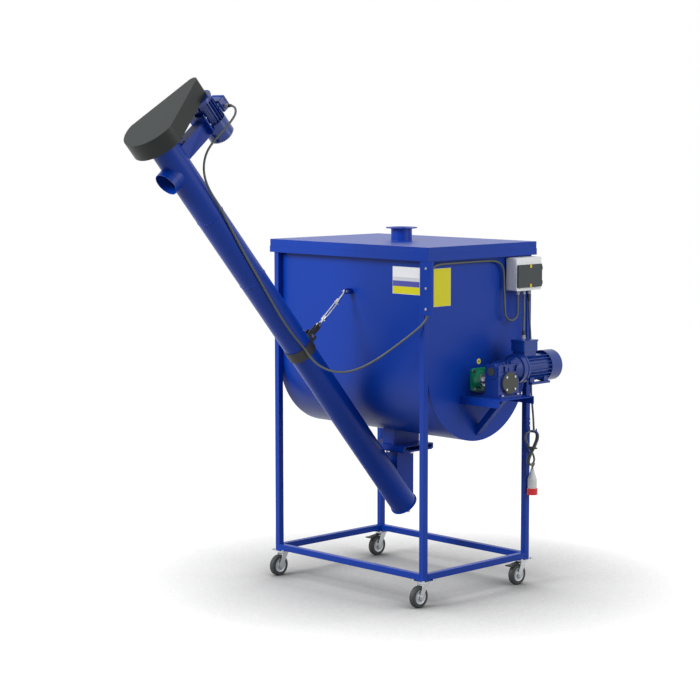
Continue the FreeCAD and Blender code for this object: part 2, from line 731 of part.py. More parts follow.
def main_drive():
    axis = ((gear_middle, bell_reach, worm_height), (-1, 0, 0), (0, 1, 0))
    pieces = {name: set_frame(shape, *axis) for name, shape in motor_shapes(main_motor).items()}
    nodes["main_motor_body"] = [pieces["body"], pieces["cowl"]]
    nodes["main_motor_fan"] = [pieces["fan"], pieces["shaft"]]
    nodes["terminal_boxes"] = [pieces["box"]]


# ---- Control box, cable duct and labels -----------------------------------
def gland(base, direction):
    """Cable gland standing on base: hexagon, dome nut. Returns the point where its cable starts."""
    end = tuple(b + gland_length * d for b, d in zip(base, direction))
    nut = hex_bolt(base, direction, gland_radius * 0.65, 0, 0.5)
    dome = rod(gland_radius * 0.86, base, end)
    glands.append(fuse([nut, dome]))
    return end


def control_box():
    body = soften(block((half_length + 5, box_front - window_depth), box_y, box_z), box_corner, (1, 0, 0))
    inner = block((half_length + 8, box_front), (box_y[0] + 12, box_y[1] - 12),
                  (box_z[0] + window_drop + 12, box_z[0] + window_drop + window_height - 12))
    feet = []
    for z in (box_z[0] + 18, box_z[1] - 18):
        feet.append(rod(7, (end_face, box_y[0] + 16, z), (half_length + 5, box_y[0] + 16, z)))
        feet.append(rod(7, (half_length, box_y[1] - 14, z), (half_length + 5, box_y[1] - 14, z)))
    nodes["control_box"] = [fuse([body.cut(inner)] + feet)]
    window_z = (box_z[0] + window_drop, box_z[0] + window_drop + window_height)
    window_y = (box_y[0] + window_margin, box_y[1] - window_margin)
    pane_x = (box_front - window_depth + clearance, box_front)
    pane = soften(block(pane_x, window_y, window_z), 5.0, (1, 0, 0))
    pane = pane.cut(block((box_front - window_depth, box_front - 3), (window_y[0] + 8, window_y[1] - 8),
                          (window_z[0] + 8, window_z[1] - 8)))
    barrels = []
    for z in (window_z[0] + 14, window_z[1] - 34):
        barrels.append(rod(window_barrel, (box_front, window_y[1], z), (box_front, window_y[1], z + 20)))
    nodes["control_window"] = [fuse([pane] + barrels)]
    middle = sum(box_y) / 2
    catches = []
    for z in (window_z[0] + 1, window_z[1] - 19):
        catches.append(block((box_front, box_front + 5), (middle - catch_width / 2, middle + catch_width / 2),
                             (z, z + 18)))
    nodes["window_catches"] = catches
    for y in (middle - gland_spread - 5, middle - 2, middle + gland_spread - 7):
        gland((box_front - 45, y, box_z[0]), (0, 0, -1))
    box_top = worm_height + main_motor["box_foot"] + main_motor["box_height"]
    gland((gear_middle - 29, bell_reach + 90, box_top), (0, 0, 1))
    gland((gear_middle - main_motor["box_half"], bell_reach + 78, worm_height + main_motor["box_foot"] + 34),
          (-1, 0, 0))


def duct_parts():
    x = (half_length + duct_reach - duct_width, half_length + duct_reach)
    face = -half_width
    plate = block(x, (face - duct_wall, face), (rim_underside - duct_height, rim_underside))
    lip = block((x[1] - duct_wall, x[1]), (face, face + 15), (rim_underside - duct_height, rim_underside))
    nodes["cable_duct"] = [fuse([plate, lip])]
    for drop in duct_bolt_drops:
        z = rim_underside - drop
        bolts.append(hex_bolt((half_length + 18, face - duct_wall, z), (0, -1, 0), 4.5, 0))
        clip = block((half_length + 10, half_length + 40), (face, face + 4), (z - 8, z + 8))
        nodes["cable_duct"].append(clip)
    hook_y = hank_middle[1] + 2
    tip = hank_middle[0] + hank_depth / 2 + hook_radius + 3
    plate_z = (hook_height - 16, hook_height + hook_plate_rise)
    hook_end = (tip + hook_radius, hook_y, hook_height)
    hook = [block((half_length, half_length + 3), (half_width - 34, half_width - 2), plate_z),
            rod(hook_radius, (half_length + 3, hook_y, hook_height), hook_end),
            rod(hook_radius, (tip, hook_y, hook_height), (tip, hook_y, hook_height + 22))]
    nodes["cable_duct"].append(fuse(hook))
    for rise in hook_bolt_rises:
        bolts.append(hex_bolt((half_length + 3, half_width - 10, hook_height + rise), (1, 0, 0), 3.5, 0))


def label_parts():
    right = half_length - front_label_edge
    top = rim_underside - front_label_drop
    front = block((right - front_label[0], right), (-trough_half - label_thickness, -trough_half),
                  (top - front_label[1], top))
    near = -trough_half + side_label_edge
    high = rim_underside - side_label_drop
    side = block((end_face, end_face + label_thickness), (near, near + side_label[0]),
                 (high - side_label[1], high))
    z = shaft_height + round_label_rise
    disc = rod(round_label, (end_face, 4, z), (end_face + label_thickness, 4, z))
    nodes["label_plates"] = [front, side, disc]


# ---- Discharge gate and auger inlet ---------------------------------------
def discharge_parts():
    """Gate under the trough and the inlet of the auger below it."""
    blade_middle = gate_top - gate_depth / 2
    slot = blade_thickness / 2 + slot_clearance
    frame = []
    for z in ((gate_top - gate_plate, gate_top), (joint_height, joint_height + gate_plate)):
        frame.append(centred(gate_half_length, gate_half_width, z))
    rails_x = (-gate_half_length, gate_half_length)
    for side in (-1, 1):
        span = sorted((side * gate_half_width, side * (gate_half_width - gate_side_bar)))
        frame.append(block(rails_x, span, (joint_height, gate_top)))
        guide = sorted((side * gate_half_width, side * (gate_half_width - 2 * gate_side_bar)))
        frame.append(block(rails_x, guide, (blade_middle + slot, gate_top)))
        frame.append(block(rails_x, guide, (joint_height, blade_middle - slot)))
    throat_x = neck_half_length - neck_wall
    above = centred(throat_x, neck_half_width - neck_wall, (blade_middle, gate_top + 1))
    throat_y = inlet_half_width - neck_wall
    below = centred(inlet_half_length - neck_wall, throat_y, (joint_height - 1, blade_middle), inlet_shift)
    nodes["gate_frame"] = [cut(fuse(frame), [above, below])]
    blade_y = gate_half_width - gate_side_bar - slot_clearance
    blade_z = (blade_middle - blade_thickness / 2, blade_middle + blade_thickness / 2)
    nodes["gate_blade"] = [block((-blade_tail, neck_half_length + blade_lap), (-blade_y, blade_y), blade_z)]
    grip = block((-blade_tail - grip_depth, -blade_tail), (-grip_half_width, grip_half_width),
                 (blade_middle - grip_height / 2, blade_middle + grip_height / 2))
    nodes["gate_grip"] = [soften(grip, 6.0, (0, 1, 0))]
    tube_solid = on_auger(rod(auger_tube, (0, 0, auger_start), (0, 0, auger_split)))
    throat = duct_prism(inlet_half_length - neck_wall, throat_y, joint_height + 1)
    duct = cut(duct_prism(inlet_half_length, inlet_half_width, joint_height), [throat, tube_solid])
    flange = centred(joint_half_length, joint_half_width, (joint_height - joint_flange, joint_height))
    inlet = fuse([duct, flange.cut(throat)])
    for x, y in ((122, 42), (122, -42), (-122, 42), (-122, -42), (0, 104), (0, -104)):
        bolts.append(hex_bolt((x, y, joint_height - joint_flange), (0, 0, -1), joint_bolt, 0))
    return throat, inlet


def duct_prism(half_x, half_y, top):
    """Oblong duct from the height given down into the tube, no lower than the tube's end."""
    near, far = inlet_shift - half_y, inlet_shift + half_y
    inside = 20.0
    lower = auger_point(0, inside, auger_start)
    near_z = lower[2] + (near - lower[1]) * AUGER_UP[2] / AUGER_UP[1]
    far_z = lower[2] + (far - lower[1]) * AUGER_BACK[2] / AUGER_BACK[1]
    side = [(-half_x, near, near_z), (-half_x, lower[1], lower[2]), (-half_x, far, far_z),
            (-half_x, far, top), (-half_x, near, top)]
    return prism(side, (2 * half_x, 0, 0))


# ---- Auger ----------------------------------------------------------------
def auger_parts(throat, inlet):
    inner = auger_tube - auger_wall
    low = pipe(auger_tube, inner, (0, 0, auger_start), (0, 0, auger_split))
    nodes["auger_tube_lower"] = [fuse([on_auger(low).cut(throat), inlet])]
    spout_end = (0, -spout_reach, spout_at)
    upper = pipe(auger_tube, inner, (0, 0, auger_split), (0, 0, auger_end))
    weld_end = (0, -auger_tube - 1, spout_at)
    neck = fuse([rod(spout_outer, (0, 0, spout_at), spout_end),
                 rod(spout_outer + spout_weld, (0, 0, spout_at), weld_end)])
    neck = neck.cut(rod(inner, (0, 0, auger_split), (0, 0, auger_end)))
    way_out = rod(spout_outer - spout_wall, (0, 0, spout_at), (0, -spout_reach - 1, spout_at))
    upper = fuse([upper, neck]).cut(way_out)
    nodes["auger_tube_upper"] = [on_auger(upper)]
    disc = rod(cap_radius, (0, 0, auger_start - cap_plate), (0, 0, auger_start))
    boss = rod(cap_boss, (0, 0, auger_start - cap_plate - cap_boss_length), (0, 0, auger_start))
    bore = rod(stub_radius + running_gap, (0, 0, auger_start - 60), (0, 0, auger_start + 1))
    top = pipe(inner, screw_shaft + running_gap, (0, 0, auger_end - top_disc), (0, 0, auger_end))
    nodes["auger_end_discs"] = [on_auger(fuse([disc, boss]).cut(bore)), on_auger(top)]
    shaft_low = auger_start + 2
    shaft = fuse([rod(screw_shaft, (0, 0, shaft_low), (0, 0, auger_end + pulley_at + pulley_width / 2 + 12)),
                  rod(stub_radius, (0, 0, auger_start - cap_plate - cap_boss_length - stub_length),
                      (0, 0, shaft_low))])
    nodes["auger_shaft"] = [on_auger(shaft)]
    run = spout_at + 80 - shaft_low - 6
    flight = helical_band(screw_shaft, screw_radius, screw_thickness, screw_pitch, run, False)
    flight = flight.translated(Vector(0, 0, shaft_low + 6))
    nodes["auger_flight"] = [on_auger(flight)]


def loop(corners, ends, run):
    """Solid of two arcs and two straight sides: corners in order, each arc through its end point."""
    edges = [Part.Arc(corners[0], ends[0], corners[1]).toShape(), Part.makeLine(corners[1], corners[2]),
             Part.Arc(corners[2], ends[1], corners[3]).toShape(), Part.makeLine(corners[3], corners[0])]
    return Part.Face(Part.Wire(edges)).extrude(Vector(0, 0, run))


def belt_loop(big, small, low, high):
    """Hull of two circles, the big one at the screw and the small one at the motor."""
    lead = (big - small) / belt_centres
    side = math.sqrt(1 - lead * lead)
    corners = [Vector(big * side, big * lead, low), Vector(-big * side, big * lead, low),
               Vector(-small * side, belt_centres + small * lead, low),
               Vector(small * side, belt_centres + small * lead, low)]
    return loop(corners, (Vector(0, -big, low), Vector(0, belt_centres + small, low)), high - low)


def guard_loop(inset, low, high):
    """Outline of the guard: a half round, straight sides from its ends, and a small round tip."""
    big, small = guard_round - inset, guard_tip - inset
    rise = guard_tip_at - guard_round_at
    angle = math.acos(small / math.hypot(big, rise)) - math.atan2(rise, big)
    x, y = small * math.cos(angle), guard_tip_at + small * math.sin(angle)
    corners = [Vector(big, guard_round_at, low), Vector(-big, guard_round_at, low), Vector(-x, y, low),
               Vector(x, y, low)]
    ends = (Vector(0, guard_round_at - big, low), Vector(0, guard_tip_at + small, low))
    return loop(corners, ends, high - low)


def pulley(radius, bore, centre, low, high, hub_low):
    """Grooved belt pulley about the auger's own axis or its motor's, with a hub on the low side."""
    rim = rod(radius, (0, centre, low), (0, centre, high))
    web = pipe(radius - 12, bore + 12, (0, centre, high - 10), (0, centre, high + 1))
    hub = rod(bore + 10, (0, centre, hub_low), (0, centre, low))
    hole = rod(bore, (0, centre, hub_low - 1), (0, centre, high + 1))
    tools = [hole, web] if radius > bore + 30 else [hole]
    return cut(fuse([rim, hub]), tools)


def belt_drive():
    plate_top = auger_end + guard_plate
    axis = ((0, belt_centres, auger_end), (-1, 0, 0), (0, 0, -1))
    plate = guard_loop(0, auger_end, plate_top)
    holes = []
    for radius, centre in ((screw_shaft + 4, 0.0), (auger_motor["shaft"] + 6, belt_centres)):
        holes.append(rod(radius, (0, centre, auger_end - 1), (0, centre, plate_top + 1)))
    shell = guard_loop(0, plate_top, guard_top)
    hollow = guard_loop(guard_wall, plate_top - 1, guard_top - guard_wall)
    nodes["belt_guard"] = [on_auger(cut(plate, holes)), on_auger(shell.cut(hollow))]
    low = auger_end + pulley_at - pulley_width / 2
    high = low + pulley_width
    hub_low = low - 14
    nodes["auger_shaft"].append(on_auger(pulley(screw_pulley, screw_shaft, 0.0, low, high, hub_low)))
    motor_sheave = on_auger(pulley(motor_pulley, auger_motor["shaft"], belt_centres, low, high, hub_low))
    belt = belt_loop(screw_pulley + belt_thickness, motor_pulley + belt_thickness, low + 3, high - 3)
    belt = belt.cut(belt_loop(screw_pulley + clearance, motor_pulley + clearance, low, high))
    nodes["drive_belt"] = [on_auger(belt)]
    pieces = {name: on_auger(set_frame(shape, *axis)) for name, shape in motor_shapes(auger_motor).items()}
    nodes["auger_motor_body"] = [pieces["body"], pieces["cowl"]]
    nodes["auger_motor_shaft"] = [pieces["fan"], pieces["shaft"], motor_sheave]
    nodes["terminal_boxes"].append(pieces["box"])
    seat = belt_centres - auger_motor["foot"]
    span = (arm_low, arm_high)
    arm = block((-arm_half, arm_half), (0, seat - foot_plate), span)
    inner = (span[0] + arm_wall, span[1] - arm_wall)
    inside = block((arm_wall - arm_half, arm_half - arm_wall), (-1, seat), inner)
    arm = cut(arm, [inside, rod(auger_tube, (0, 0, span[0] - 1), (0, 0, span[1] + 1))])
    plate = block((-70, 70), (seat - foot_plate, seat), (arm_low + 7, arm_high + 30))
    screw_z = arm_high + 12
    lug = block((-12, 12), (auger_tube - 6, auger_tube + 14), (arm_high, screw_z + 12))
    tool = rod(auger_tube, (0, 0, span[0]), (0, 0, auger_end))
    nodes["motor_arm"] = [on_auger(fuse([arm, plate])), on_auger(lug.cut(tool)),
                          on_auger(rod(5, (0, auger_tube + 14, screw_z), (0, auger_tube + 48, screw_z)))]
    foot = foot_span(auger_motor)
    for side in (-1, 1):
        for z in (auger_end - foot[0] - 18, auger_end - foot[1] + 18):
            x = side * (auger_motor["foot_spread"] - 7)
            base = auger_point(x, seat + 12, z)
            bolts.append(hex_bolt(base, AUGER_BACK, 4.0, 0))
    top_gland = auger_end - auger_motor["box_start"] - auger_motor["box_length"] + 22
    middle = belt_centres + auger_motor["box_foot"] + auger_motor["box_height"] / 2
    gland(auger_point(auger_motor["box_half"], middle, top_gland), (1, 0, 0))


# ---- Stay between trough and auger ----------------------------------------
def stay_parts():
    along = (stay_at - clamp_width / 2, stay_at + clamp_width / 2)
    outer = auger_tube + clamp_thickness
    band = rod(outer, (0, 0, along[0]), (0, 0, along[1]))
    ears_x = eye_thickness / 2 + 0.3 + link_thickness
    ears = []
    for side in (-1, 1):
        span = sorted((side * ears_x, side * (ears_x + clamp_thickness)))
        ears.append(block(span, (auger_tube - 8, outer + clamp_ear), along))
    band = fuse([band] + ears)
    gap = block((-ears_x, ears_x), (auger_tube - 20, outer + 1), (along[0] - 1, along[1] + 1))
    bolt_b = outer + 22.0
    eye_b = bolt_b + link_length
    tube_cut = rod(auger_tube, (0, 0, along[0] - 1), (0, 0, along[1] + 1))
    bolt_hole = rod(pin_hole, (-40, bolt_b, stay_at), (40, bolt_b, stay_at))
    nodes["tube_clamp"] = [on_auger(cut(band, [tube_cut, gap, bolt_hole]))]
    links = []
    for side in (-1, 1):
        span = sorted((side * (eye_thickness / 2 + 0.3), side * ears_x))
        bar = block(span, (bolt_b - 15, eye_b + 14), (stay_at - link_width / 2, stay_at + link_width / 2))
        bar = soften(bar, 12.0, (1, 0, 0))
        eye_hole = rod(pin_hole, (-40, eye_b, stay_at), (40, eye_b, stay_at))
        links.append(on_auger(cut(bar, [bolt_hole, eye_hole])))
    nodes["tube_clamp"] += links
    outside = ears_x + clamp_thickness
    bolts.append(hex_bolt(auger_point(outside, bolt_b, stay_at), (1, 0, 0), 6.0, 2 * outside))
    bolts.append(hex_bolt(auger_point(-outside, bolt_b, stay_at), (-1, 0, 0), 6.0, 0))
    bolts.append(hex_bolt(auger_point(ears_x, eye_b, stay_at), (1, 0, 0), 6.0, 2 * ears_x))
    bolts.append(hex_bolt(auger_point(-ears_x, eye_b, stay_at), (-1, 0, 0), 6.0, 0))
    y = -half_width - 6
    reach = -y * AUGER_BACK[1] * -1 + (peg_height - auger_foot) * AUGER_BACK[2]
    low = (0, eye_b, stay_at)
    high = (0, reach, stay_at)
    body_low = eye_b + 45
    body_high = reach - 72
    half = eye_thickness / 2
    parts = []
    for point in (low, high):
        parts.append(rod(eye_radius, (-half, point[1], stay_at), (half, point[1], stay_at)))
    for span in ((eye_b, eye_b + eye_shank), (reach - eye_shank, reach)):
        parts.append(block((-half, half), span, (stay_at - rod_radius, stay_at + rod_radius)))
    parts.append(rod(rod_radius, (0, eye_b + eye_shank - 1, stay_at), (0, body_low + 25, stay_at)))
    parts.append(rod(rod_radius, (0, body_high - 25, stay_at), (0, reach - eye_shank + 1, stay_at)))
    parts.append(rod(buckle_half, (0, body_low, stay_at), (0, body_low + 22, stay_at)))
    parts.append(rod(buckle_half, (0, body_high - 22, stay_at), (0, body_high, stay_at)))
    for side in (-1, 1):
        z = stay_at + side * (buckle_half - buckle_bar / 2 - 0.8)
        parts.append(rod(buckle_bar / 2, (0, body_low + 2, z), (0, body_high - 2, z)))
    holes = [rod(pin_hole, (-20, point[1], stay_at), (20, point[1], stay_at)) for point in (low, high)]
    nodes["turnbuckle"] = [on_auger(cut(fuse(parts), holes))]
    pin = auger_point(0, reach, stay_at)
    boss = rod(peg_radius, (0, -trough_half, pin[2]), (0, pin[1] + 17, pin[2]))
    cheeks = []
    for side in (-1, 1):
        span = sorted((side * (half + 0.3), side * (half + 6.3)))
        cheeks.append(block(span, (pin[1] - 14, pin[1] + 18), (pin[2] - 14, pin[2] + 14)))
    hole = rod(pin_hole, (-40, pin[1], pin[2]), (40, pin[1], pin[2]))
    nodes["wall_peg"] = [fuse([boss] + cheeks).cut(hole)]
    bolts.append(hex_bolt((half + 6.3, pin[1], pin[2]), (1, 0, 0), 6.0, 2 * half + 12.6))
    bolts.append(hex_bolt((-half - 6.3, pin[1], pin[2]), (-1, 0, 0), 6.0, 0))


# ---- Castors --------------------------------------------------------------
def castors():
    plates = []
    number = 0
    for sx in (-1, 1):
        for sy in (-1, 1):
            number += 1
            x, y = sx * castor_centre[0], sy * castor_centre[1]
            plates.append(castor_plate_shape(x, y))
            fork, tyre, hub = castor_shapes(x, y)
            nodes[f"castor_fork_{number}"] = [fork]
            nodes[f"castor_wheel_{number}"] = [tyre, hub]
            if sy > 0:
                nodes[f"brake_pedal_{number}"] = [pedal(x, y)]
    nodes["castor_plates"] = plates


def castor_plate_shape(x, y):
    half = castor_plate / 2
    under = frame_height - castor_plate_thickness
    plate = soften(block((x - half, x + half), (y - half, y + half), (under, frame_height)), 10.0, (0, 0, 1))
    offset = castor_bolt_pitch / 2
    holes = [rod(king_pin + clearance, (x, y, under - 1), (x, y, frame_height + 1))]
    for dx in (-offset, offset):
        for dy in (-offset, offset):
            holes.append(rod(4.6, (x + dx, y + dy, under - 1), (x + dx, y + dy, frame_height + 1)))
            bolts.append(hex_bolt((x + dx, y + dy, frame_height), (0, 0, 1), 4.5, castor_plate_thickness))
    return cut(plate, holes)


def castor_shapes(x, y):
    top = frame_height - castor_plate_thickness - clearance
    low = top - fork_crown_depth
    axle_y = y - wheel_trail
    inner = wheel_width / 2 + fork_leg_gap
    crown = rod(fork_crown, (x, y, low), (x, y, top))
    pin = rod(king_pin, (x, y, low), (x, y, frame_height - 1))
    parts = [crown, pin]
    for side in (-1, 1):
        start = x + side * inner - (fork_leg if side < 0 else 0)
        outline = [(start, y + 22, low + 1), (start, y - 22, low + 1), (start, axle_y - 15, wheel_height),
                   (start, axle_y - 9, wheel_height - 13), (start, axle_y + 9, wheel_height - 13),
                   (start, axle_y + 15, wheel_height + 2)]
        parts.append(prism(outline, (fork_leg, 0, 0)))
    outside = inner + fork_leg + 5
    parts.append(rod(wheel_axle, (x - outside, axle_y, wheel_height), (x + outside, axle_y, wheel_height)))
    half = wheel_width / 2
    wheel = rod(wheel_radius, (x - half, axle_y, wheel_height), (x + half, axle_y, wheel_height))
    wheel = wheel.makeChamfer(5.0, [edge for edge in wheel.Edges if edge.BoundBox.XLength < 0.1])
    rim_hole = rod(wheel_hub, (x - half - 1, axle_y, wheel_height), (x + half + 1, axle_y, wheel_height))
    tyre = wheel.cut(rim_hole)
    hub = rod(wheel_hub, (x - half + 3, axle_y, wheel_height), (x + half - 3, axle_y, wheel_height))
    boss = rod(14, (x - half - 1, axle_y, wheel_height), (x + half + 1, axle_y, wheel_height))
    bore = rod(wheel_axle + running_gap, (x - half - 2, axle_y, wheel_height),
               (x + half + 2, axle_y, wheel_height))
    return fuse(parts), tyre, fuse([hub, boss]).cut(bore)


def pedal(x, y):
    """Brake lever lying just over the tyre, on a knuckle between the fork legs."""
    pivot = (y - 20, frame_height - 21)
    half = wheel_width / 2 - 1
    reach = wheel_width / 2 + fork_leg_gap - clearance
    knuckle_bar = rod(5, (x - reach, pivot[0], pivot[1]), (x + reach, pivot[0], pivot[1]))
    tip = pivot[0] - pedal_reach
    side = [(x - half, pivot[0], pivot[1] - 1), (x - half, pivot[0], pivot[1] + 4),
            (x - half, tip, pivot[1] - 8), (x - half, tip, pivot[1] - 13)]
    pads = block((x - 24, x + 24), (tip, tip + 22), (pivot[1] - 13, pivot[1] - 7))
    return fuse([knuckle_bar, prism(side, (2 * half, 0, 0)), pads])


# ---- Cords ----------------------------------------------------------------
def cord(name, points):
    """Round cable through the points: straight runs joined by tangent arcs."""
    points = [Vector(*point) for point in points]
    edges, here, radii = [], points[0], []
    for before, corner, after in zip(points, points[1:], points[2:]):
        come, leave = corner - before, after - corner
        turn = come.getAngle(leave)
        if turn < 0.002:
            continue
        reach = bend_share * min(come.Length, leave.Length)
        radius = reach / math.tan(turn / 2)
        come.normalize()
        leave.normalize()
        start, end = corner - come * reach, corner + leave * reach
        inward = leave - come
        inward.normalize()
        middle = corner + inward * (radius / math.cos(turn / 2) - radius)
        edges += [Part.makeLine(here, start), Part.Arc(start, middle, end).toShape()]
        here = end
        radii.append(round(radius))
    edges.append(Part.makeLine(here, points[-1]))
    path = Part.Wire(edges)
    section = Part.Wire(Part.makeCircle(cable, points[0], points[1] - points[0]))
    tube_solid = path.makePipeShell([section], True, False)
    share = tube_solid.Volume / (math.pi * cable ** 2 * path.Length)
    print(name, "bend radii", min(radii), radii, "volume share", round(share, 3))
    return tube_solid


def cord_parts():
    exit_z = box_z[0] - gland_length
    motor_top = worm_height + main_motor["box_foot"] + main_motor["box_height"] + gland_length
    along_tube = [(67, 427.5, 2590), (112, 427.5, 2590), (138, 396, 2568), (136, 340, 2556), (122, 270, 2548),
                  (106, 195, 2540), (94, 125, 2518), (86, 66, 2462), (84, 34, 2380), (84, 29, 2260),
                  (84, 12, 2110), (84, -6, 1950), (84, -17, 1790), (84, -28, 1640), (84, -38, 1500),
                  (84, -36, 1370), (84, -24, 1262)]
    to_box = [(100, -806, 1364), (140, -779, 1320), (196, -739, 1290), (260, -692, 1287), (330, -641, 1315),
              (400, -590, 1364), (470, -538, 1427), (545, -486, 1497), (603, -449, 1556), (620, -426, 1605),
              (626, -424, 1670), (627, -422, 1745), (626, -419, 1812), (623, -400, 1862), (614, -340, 1874),
              (612, -240, 1874), (613, -100, 1875), (612, 40, 1874), (613, 130, 1870), (616, 178, 1840),
              (618, 186, 1770), (622, 182, 1690), (626, 184, 1610), (630, 184, 1553), (636, 228, 1528),
              (643, 271, 1553), (646, 271, 1600), (645, 271, 1644), (645, 271, exit_z)]
    nodes["auger_cable"] = [cord("auger_cable", [auger_point(*point) for point in along_tube] + to_box)]
    to_motor = [(645, 322, exit_z), (645, 322, 1644), (655, 313, 1594), (672, 291, 1553), (695, 264, 1533),
                (718, 238, 1530), (733, 220, 1514), (742.5, 210, 1489), (742.5, 210, motor_top)]
    nodes["motor_cable"] = [cord("motor_cable", to_motor)]
    hank = []
    x = hank_middle[0] - hank_depth / 2
    for middle, half_y, half_z in hank_lobes:
        disc = Part.Face(Part.Wire(ellipse_edge(x, hank_middle[1], middle, half_y, half_z)))
        lobe = disc.extrude(Vector(hank_depth, 0, 0))
        rims = [edge for edge in lobe.Edges if edge.BoundBox.XLength < 0.1]
        hank.append(lobe.makeChamfer(hank_edge, rims))
    hook_y = hank_middle[1] + 2
    hook_bore = rod(hook_radius + clearance, (half_length, hook_y, hook_height),
                    (half_length + 80, hook_y, hook_height))
    solid = fuse(hank)
    nodes["mains_hank"] = [solid.cut(hook_bore)]
    down = [(645, 365, exit_z), (645, 365, 1640), (643.5, 370, 1568), (639, 386, 1462), (636, 398, 1350),
            (635, 402, 1225), (635, 403, 1110), (635, 414, 1040), (636, 424, 960), (635, 430, 882)]
    lead = rod(cable, (plug_at[0], plug_at[1], plug_top), (plug_at[0], plug_at[1], plug_top + 60))
    nodes["mains_cable"] = [cord("mains_cable", down).cut(solid), lead.cut(solid)]
    outline = [Vector(plug_at[0], plug_at[1], plug_top)]
    for radius, drop in plug_profile:
        outline.append(Vector(plug_at[0] + radius, plug_at[1], plug_top - drop))
    outline.append(Vector(plug_at[0], plug_at[1], plug_top - plug_profile[-1][1]))
    face = Part.Face(Part.makePolygon(outline + outline[:1]))
    nodes["mains_plug"] = [face.revolve(Vector(plug_at[0], plug_at[1], 0), Vector(0, 0, 1), 360)]
    ring_top = plug_top - plug_profile[-1][1]
    ring = rod(plug_ring, (plug_at[0], plug_at[1], ring_top),
               (plug_at[0], plug_at[1], ring_top - plug_ring_length))
    bore = rod(plug_ring_bore, (plug_at[0], plug_at[1], ring_top - 5),
               (plug_at[0], plug_at[1], ring_top - plug_ring_length - 1))
    pins = []
    for step in range(5):
        angle = math.radians(72 * step + 18)
        px, py = plug_at[0] + 13 * math.cos(angle), plug_at[1] + 13 * math.sin(angle)
        pins.append(rod(2.5, (px, py, ring_top - 5), (px, py, ring_top - plug_ring_length + 3)))
    nodes["plug_ring"] = [fuse([ring.cut(bore)] + pins)]


def ellipse_edge(x, y, z, half_y, half_z):
    """Closed ellipse about (y, z) in the plane at x."""
    tall = half_z >= half_y
    long_end = Vector(x, y, z + half_z) if tall else Vector(x, y + half_y, z)
    short_end = Vector(x, y + half_y, z) if tall else Vector(x, y, z + half_z)
    return [Part.Ellipse(long_end, short_end, Vector(x, y, z)).toShape()]


frame_parts()
trough_parts()
rim_and_lid()
inlet_parts()
rotor_parts()
bearing_parts()
platform_parts()
gearbox_parts()
main_drive()
control_box()
duct_parts()
label_parts()
auger_parts(*discharge_parts())
belt_drive()
stay_parts()
castors()
cord_parts()
nodes["bolts"] = bolts
nodes["cable_glands"] = glands
cords = ("auger_cable", "motor_cable", "mains_cable", "mains_hank", "mains_plug", "plug_ring")
bounds = [solid.optimalBoundingBox(False, False) for name, solids in nodes.items() if name not in cords
          for solid in solids]
low = [min(getattr(bound, axis) for bound in bounds) for axis in ("XMin", "YMin", "ZMin")]
high = [max(getattr(bound, axis) for bound in bounds) for axis in ("XMax", "YMax", "ZMax")]
origin_shift = Vector(-(low[0] + high[0]) / 2, -(low[1] + high[1]) / 2, -low[2])
print("box", [round(value, 3) for value in low + high], "shift", tuple(origin_shift))
os.makedirs("parts", exist_ok=True)
for name, solids in nodes.items():
    moved = [solid.translated(origin_shift) for solid in solids]
    Part.makeCompound(moved).exportStep(f"parts/{name}.step")
    print(name, len(solids), "solids", round(sum(solid.Volume for solid in moved) / 1000, 1), "cm3",
          all(solid.isValid() and len(solid.Solids) == 1 for solid in moved))
print(len(nodes), "nodes")
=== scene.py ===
import bpy
import json
import math
import numpy as np
from mathutils import Matrix, Vector


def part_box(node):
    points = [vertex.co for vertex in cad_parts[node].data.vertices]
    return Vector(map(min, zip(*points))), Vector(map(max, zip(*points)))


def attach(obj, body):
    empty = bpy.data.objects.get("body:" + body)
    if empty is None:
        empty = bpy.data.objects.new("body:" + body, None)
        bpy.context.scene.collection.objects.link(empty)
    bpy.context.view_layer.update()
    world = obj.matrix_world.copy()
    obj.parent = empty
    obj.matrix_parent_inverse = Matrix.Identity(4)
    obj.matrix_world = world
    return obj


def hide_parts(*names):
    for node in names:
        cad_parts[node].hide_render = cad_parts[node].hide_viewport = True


# %% [markdown]
# # A mobile ribbon blender with an inclined discharge auger
#
# The CAD model comes in as a fixed frame. This notebook dresses it: enamel, zinc, rubber and
# plastic as procedural materials, the flexible leads as curves, and the small fittings that
# a solid model leaves out. Lengths in the code are millimetres, in the machine's own axes:
# +X towards the gearmotor, -Y towards the auger, +Z up from the floor, and x = y = 0 in the
# middle of the four posts. `mm()` turns such a point into the frame's metres.

# %% Load the frame and find the machine's own middle
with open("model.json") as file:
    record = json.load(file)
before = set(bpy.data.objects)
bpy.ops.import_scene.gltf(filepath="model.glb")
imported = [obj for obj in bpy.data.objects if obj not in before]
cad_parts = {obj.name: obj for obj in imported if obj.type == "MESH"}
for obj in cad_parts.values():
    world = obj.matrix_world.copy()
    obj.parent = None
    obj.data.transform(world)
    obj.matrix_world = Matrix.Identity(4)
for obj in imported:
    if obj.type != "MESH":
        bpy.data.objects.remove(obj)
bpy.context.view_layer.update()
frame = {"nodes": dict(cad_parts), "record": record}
NODES = frame["nodes"]
scene = bpy.context.scene
post_low, post_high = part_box("corner_posts")
MIDDLE = Vector(((post_low.x + post_high.x) / 2, (post_low.y + post_high.y) / 2, 0))
print("middle of the posts in the frame:", [round(c, 4) for c in MIDDLE])


def mm(x, y, z):
    """A point in the machine's millimetres, as a point in the frame's metres."""
    return Vector((x / 1000, y / 1000, z / 1000)) + MIDDLE


# %% [markdown]
# ## The auger's own axes
#
# The screw tube leans back from the vertical. A point beside it is easiest to give as
# (across, back, along): across is X, along runs up the tube, and back points from the tube
# towards the machine.

# %% Auger axes
LEAN = math.radians(40.3)
FOOT = 467.0
UP = Vector((0, -math.sin(LEAN), math.cos(LEAN)))
BACK = Vector((0, math.cos(LEAN), math.sin(LEAN)))


